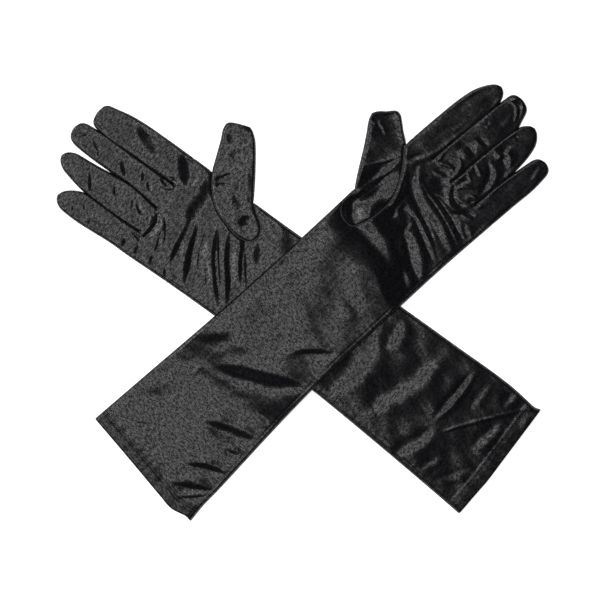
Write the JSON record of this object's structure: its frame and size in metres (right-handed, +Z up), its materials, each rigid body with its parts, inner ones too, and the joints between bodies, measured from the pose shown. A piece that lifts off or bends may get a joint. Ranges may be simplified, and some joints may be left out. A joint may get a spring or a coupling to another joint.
{
  "type": "pair of opera gloves",
  "caption": "Pair of long stretch-satin gloves with separate fingers and thumbs, lying flat and crossed with the palms up, each bending at the wrist and at every digit.",
  "frame": {"origin": "middle of the pair's footprint, on the surface they lie on", "axes": "+Z up out of the palms, +X along the pair's longer side towards the left glove's fingers, +Y towards the thumbs"},
  "size_m": [0.373, 0.3358, 0.0137],
  "materials": {
    "palm_satin": "satin weave",
    "back_satin": "satin weave",
    "hem_satin": "satin weave",
    "thread": "matt sewing thread",
    "thumb_satin": "satin weave"
  },
  "bodies": {
    "right_sleeve": {"right_sleeve_palm_layer": "palm_satin", "right_sleeve_back_layer": "back_satin", "right_hem_palm_side": "hem_satin", "right_hem_back_side": "hem_satin", "right_hem_stitching": "thread", "right_side_seam_stitching": "thread"},
    "right_hand": {"right_palm": "palm_satin", "right_hand_back": "back_satin", "right_thumb_base": "thumb_satin", "right_thumb_seam": "thread"},
    "right_index": {"right_index_palm_side": "palm_satin", "right_index_back": "back_satin"},
    "right_middle": {"right_middle_palm_side": "palm_satin", "right_middle_back": "back_satin"},
    "right_ring": {"right_ring_palm_side": "palm_satin", "right_ring_back": "back_satin"},
    "right_little": {"right_little_palm_side": "palm_satin", "right_little_back": "back_satin"},
    "right_thumb": {"right_thumb_palm_side": "thumb_satin", "right_thumb_back": "thumb_satin"},
    "left_sleeve": {"left_sleeve_palm_layer": "palm_satin", "left_sleeve_back_layer": "back_satin", "left_hem_palm_side": "hem_satin", "left_hem_back_side": "hem_satin", "left_hem_stitching": "thread", "left_side_seam_stitching": "thread"},
    "left_hand": {"left_palm": "palm_satin", "left_hand_back": "back_satin", "left_thumb_base": "thumb_satin", "left_thumb_seam": "thread"},
    "left_index": {"left_index_palm_side": "palm_satin", "left_index_back": "back_satin"},
    "left_middle": {"left_middle_palm_side": "palm_satin", "left_middle_back": "back_satin"},
    "left_ring": {"left_ring_palm_side": "palm_satin", "left_ring_back": "back_satin"},
    "left_little": {"left_little_palm_side": "palm_satin", "left_little_back": "back_satin"},
    "left_thumb": {"left_thumb_palm_side": "thumb_satin", "left_thumb_back": "thumb_satin"}
  },
  "joints": [
    {"name": "left_glove_lift", "type": "slide", "parent": "right_sleeve", "child": "left_sleeve", "axis": [0, 0, 1], "range_m": [0, 0.15]},
    {"name": "right_wrist", "type": "hinge", "parent": "right_sleeve", "child": "right_hand", "pos_m": [-0.04431, 0.02421, 0.0067], "axis": [0.5948, 0.8039, 0], "range_deg": [0, 60]},
    {"name": "right_index_root", "type": "hinge", "parent": "right_hand", "child": "right_index", "pos_m": [-0.08946, 0.09768, 0.0067], "axis": [0.5948, 0.8039, 0], "range_deg": [0, 80]},
    {"name": "right_middle_root", "type": "hinge", "parent": "right_hand", "child": "right_middle", "pos_m": [-0.10374, 0.07839, 0.0067], "axis": [0.5948, 0.8039, 0], "range_deg": [0, 80]},
    {"name": "right_ring_root", "type": "hinge", "parent": "right_hand", "child": "right_ring", "pos_m": [-0.11694, 0.06054, 0.0067], "axis": [0.5948, 0.8039, 0], "range_deg": [0, 80]},
    {"name": "right_little_root", "type": "hinge", "parent": "right_hand", "child": "right_little", "pos_m": [-0.12943, 0.04366, 0.0067], "axis": [0.5948, 0.8039, 0], "range_deg": [0, 80]},
    {"name": "right_thumb_root", "type": "hinge", "parent": "right_hand", "child": "right_thumb", "pos_m": [-0.05544, 0.08818, 0.0067], "axis": [0.8039, -0.5948, 0], "range_deg": [0, 80]},
    {"name": "left_wrist", "type": "hinge", "parent": "left_sleeve", "child": "left_hand", "pos_m": [0.0523, 0.0353, 0.0123], "axis": [0.682, -0.7314, 0], "range_deg": [0, 60]},
    {"name": "left_index_root", "type": "hinge", "parent": "left_hand", "child": "left_index", "pos_m": [0.0905, 0.11604, 0.0067], "axis": [0.682, -0.7314, 0], "range_deg": [0, 80]},
    {"name": "left_middle_root", "type": "hinge", "parent": "left_hand", "child": "left_middle", "pos_m": [0.10639, 0.099, 0.0067], "axis": [0.682, -0.7314, 0], "range_deg": [0, 80]},
    {"name": "left_ring_root", "type": "hinge", "parent": "left_hand", "child": "left_ring", "pos_m": [0.12276, 0.08145, 0.0067], "axis": [0.682, -0.7314, 0], "range_deg": [0, 80]},
    {"name": "left_little_root", "type": "hinge", "parent": "left_hand", "child": "left_little", "pos_m": [0.13817, 0.06492, 0.0067], "axis": [0.682, -0.7314, 0], "range_deg": [0, 80]},
    {"name": "left_thumb_root", "type": "hinge", "parent": "left_hand", "child": "left_thumb", "pos_m": [0.05831, 0.10217, 0.0067], "axis": [0.7314, 0.682, 0], "range_deg": [0, 80]}
  ]
}
